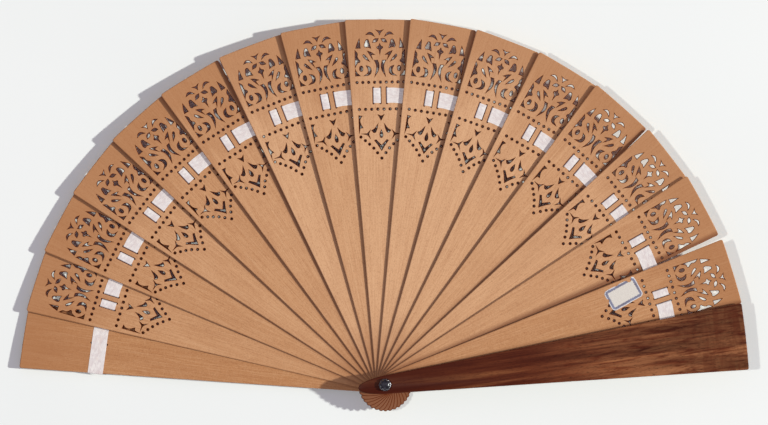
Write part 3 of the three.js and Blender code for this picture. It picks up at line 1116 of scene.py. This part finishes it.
def build_stone():
    """A round brilliant: table, crown, girdle and pavilion facets as the hull of their corners."""
    low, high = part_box("paste_stone")
    z = low.z / MM
    top = high.z / MM
    girdle = (high.x - low.x) / 2 / MM - 0.1
    rings = (
        (0.45, z, 8, 0.0),
        (1.9, z + 0.45, 8, 22.5),
        (girdle, z + 1.0, 16, 0.0),
        (girdle, z + 1.12, 16, 0.0),
        (girdle * 0.8, top - 0.38, 8, 22.5),
        (girdle * 0.52, top, 8, 0.0),
    )
    shape = bmesh.new()
    for radius, height, count, turn in rings:
        for i in range(count):
            angle = math.radians(turn + 360 * i / count)
            shape.verts.new(Vector((radius * math.cos(angle), radius * math.sin(angle), height)) * MM)
    bmesh.ops.convex_hull(shape, input=shape.verts)
    bmesh.ops.recalc_face_normals(shape, faces=shape.faces)
    mesh = bpy.data.meshes.new("paste_stone")
    shape.to_mesh(mesh)
    shape.free()
    mesh.materials.append(paste())
    place("paste_stone_look", mesh, Matrix.Identity(4), chain_root(), "paste_stone", "paste_stone")


def build_rivet():
    build_setting()
    build_stone()
    steel = rivet_steel()
    for node in ("rivet_pin", "rivet_rear_head"):
        mesh = frame["nodes"][node].data
        mesh.materials.clear()
        mesh.materials.append(steel)


# ---------------------------------------------------------------- label

LABEL_LENGTH = 19.9
LABEL_WIDTH = 12.7
LABEL_RADIUS = 146.4
LABEL_SIDE = -7.1
LABEL_TURN = 11
LABEL_THICKNESS = 0.09
LABEL_BEVEL = 0.02
LABEL_LIFT = 0.08


def label_outline(a, b):
    """A sticker of half-width a and half-length b: clipped corners, a torn notch and a ragged end."""
    cut = 2.4
    outline = arc(a - cut, -b + cut, cut, -75, -15, 5)
    outline += [(a + 0.05, -2.0), (a - 0.1, 3.0)]
    outline += arc(a - cut, b - cut, cut, 15, 75, 5)
    outline += [(1.0, b - 0.1), (-a + 2.6, b), (-a + 0.6, b - 0.3), (-a, b - 1.2)]
    outline += [(-a + 0.7, b - 2.1), (-a + 1.9, b - 2.6), (-a + 2.3, b - 3.4), (-a + 1.9, b - 4.3)]
    outline += [(-a + 0.7, b - 4.9), (-a + 0.3, b - 6.2), (-a + 0.15, 0.6), (-a + 0.5, -1.2)]
    outline += [(-a + 0.1, -3.0), (-a, -b + 3.6)]
    outline += arc(-a + cut, -b + cut, cut, 200, 255, 4)
    outline += [(-1.9, -b + 0.1), (-1.3, -b + 0.9), (-0.6, -b + 0.9), (0.1, -b + 0.2), (1.6, -b)]
    return outline


def build_label(blade):
    a = LABEL_WIDTH / 2
    b = LABEL_LENGTH / 2
    mesh = plate_mesh("inventory_label", [label_outline(a, b)], [], LABEL_THICKNESS, LABEL_BEVEL)
    smooth(mesh)
    mesh.materials.append(paper(a, b))
    lift = STICK_THICKNESS / 2 + LABEL_LIFT
    spot = Matrix.Translation(Vector((LABEL_SIDE, LABEL_RADIUS, lift)) * MM)
    turn = Matrix.Rotation(math.radians(LABEL_TURN), 4, "Z")
    matrix = blade["matrix"] @ spot @ turn
    place("inventory_label_look", mesh, matrix, blade["body"], "label_paper", "inventory_label")


# ---------------------------------------------------------------- board, lights and camera

VIEW_WIDTH = 0.4416
VIEW_CENTRE = Vector((-0.0006, 0.0989, 0.012))
CAMERA_DISTANCE = 4.0
SENSOR_WIDTH = 36.0
LAMP_DISTANCE = 12.0
LAMP_SIZE = 0.52
LAMP_COLOR = (0.98, 1.0, 0.935)
LAMP_AIM = Vector((0, 0.09, 0))
AMBIENT = (0.185, 0.155, 0.225, 1)
BOARD_SIZE = 6.0
BOARD_DROP = 0.0001


def build_board():
    board = Nodes("board_paint")
    shade = board.noise(board.place((0.004, 0.004, 0.004), source="Object"), 2.0, 0.5)
    color = board.ramp(shade, (0.3, (0.86, 0.885, 0.865, 1)), (0.7, (0.9, 0.92, 0.9, 1)))
    board.link(color, board.shader.inputs["Base Color"])
    board.shader.inputs["Roughness"].default_value = 0.9
    bpy.ops.mesh.primitive_plane_add(size=BOARD_SIZE, location=(0, 0, -BOARD_DROP))
    floor = bpy.context.object
    floor.name = "board"
    floor.data.materials.append(board.material)


def add_lamp(name, tilt, power):
    """A soft lamp, power in watts, that leans from upright by tilt degrees, towards +X if positive."""
    lamp = bpy.data.lights.new(name, "AREA")
    lamp.shape = "DISK"
    lamp.size = LAMP_SIZE
    lamp.energy = power
    lamp.color = LAMP_COLOR
    holder = bpy.data.objects.new(name, lamp)
    bpy.context.scene.collection.objects.link(holder)
    lean = math.radians(tilt)
    offset = Vector((math.sin(lean), 0, math.cos(lean))) * LAMP_DISTANCE
    holder.location = LAMP_AIM + offset
    holder.rotation_euler = (-offset).to_track_quat("-Z", "Y").to_euler()


def build_lights():
    add_lamp("right_lamp", 57, 1530)
    add_lamp("left_lamp", -22, 390)
    world = bpy.data.worlds.new("studio")
    world.use_nodes = True
    background = world.node_tree.nodes["Background"]
    background.inputs["Color"].default_value = AMBIENT
    background.inputs["Strength"].default_value = 1.0
    bpy.context.scene.world = world
    bpy.context.scene.view_settings.view_transform = "Standard"


def build_camera():
    camera = bpy.data.cameras.new("overhead_camera")
    camera.sensor_width = SENSOR_WIDTH
    camera.lens = SENSOR_WIDTH * CAMERA_DISTANCE / VIEW_WIDTH
    camera.clip_end = 100.0
    holder = bpy.data.objects.new("overhead_camera", camera)
    bpy.context.scene.collection.objects.link(holder)
    holder.location = VIEW_CENTRE + Vector((0, 0, CAMERA_DISTANCE))
    bpy.context.scene.camera = holder


build_camera()
fan = blade_chain()
build_sticks(fan)
build_guards(fan)
build_ribbon(fan)
build_rivet()
build_label(fan[-2])
build_board()
build_lights()
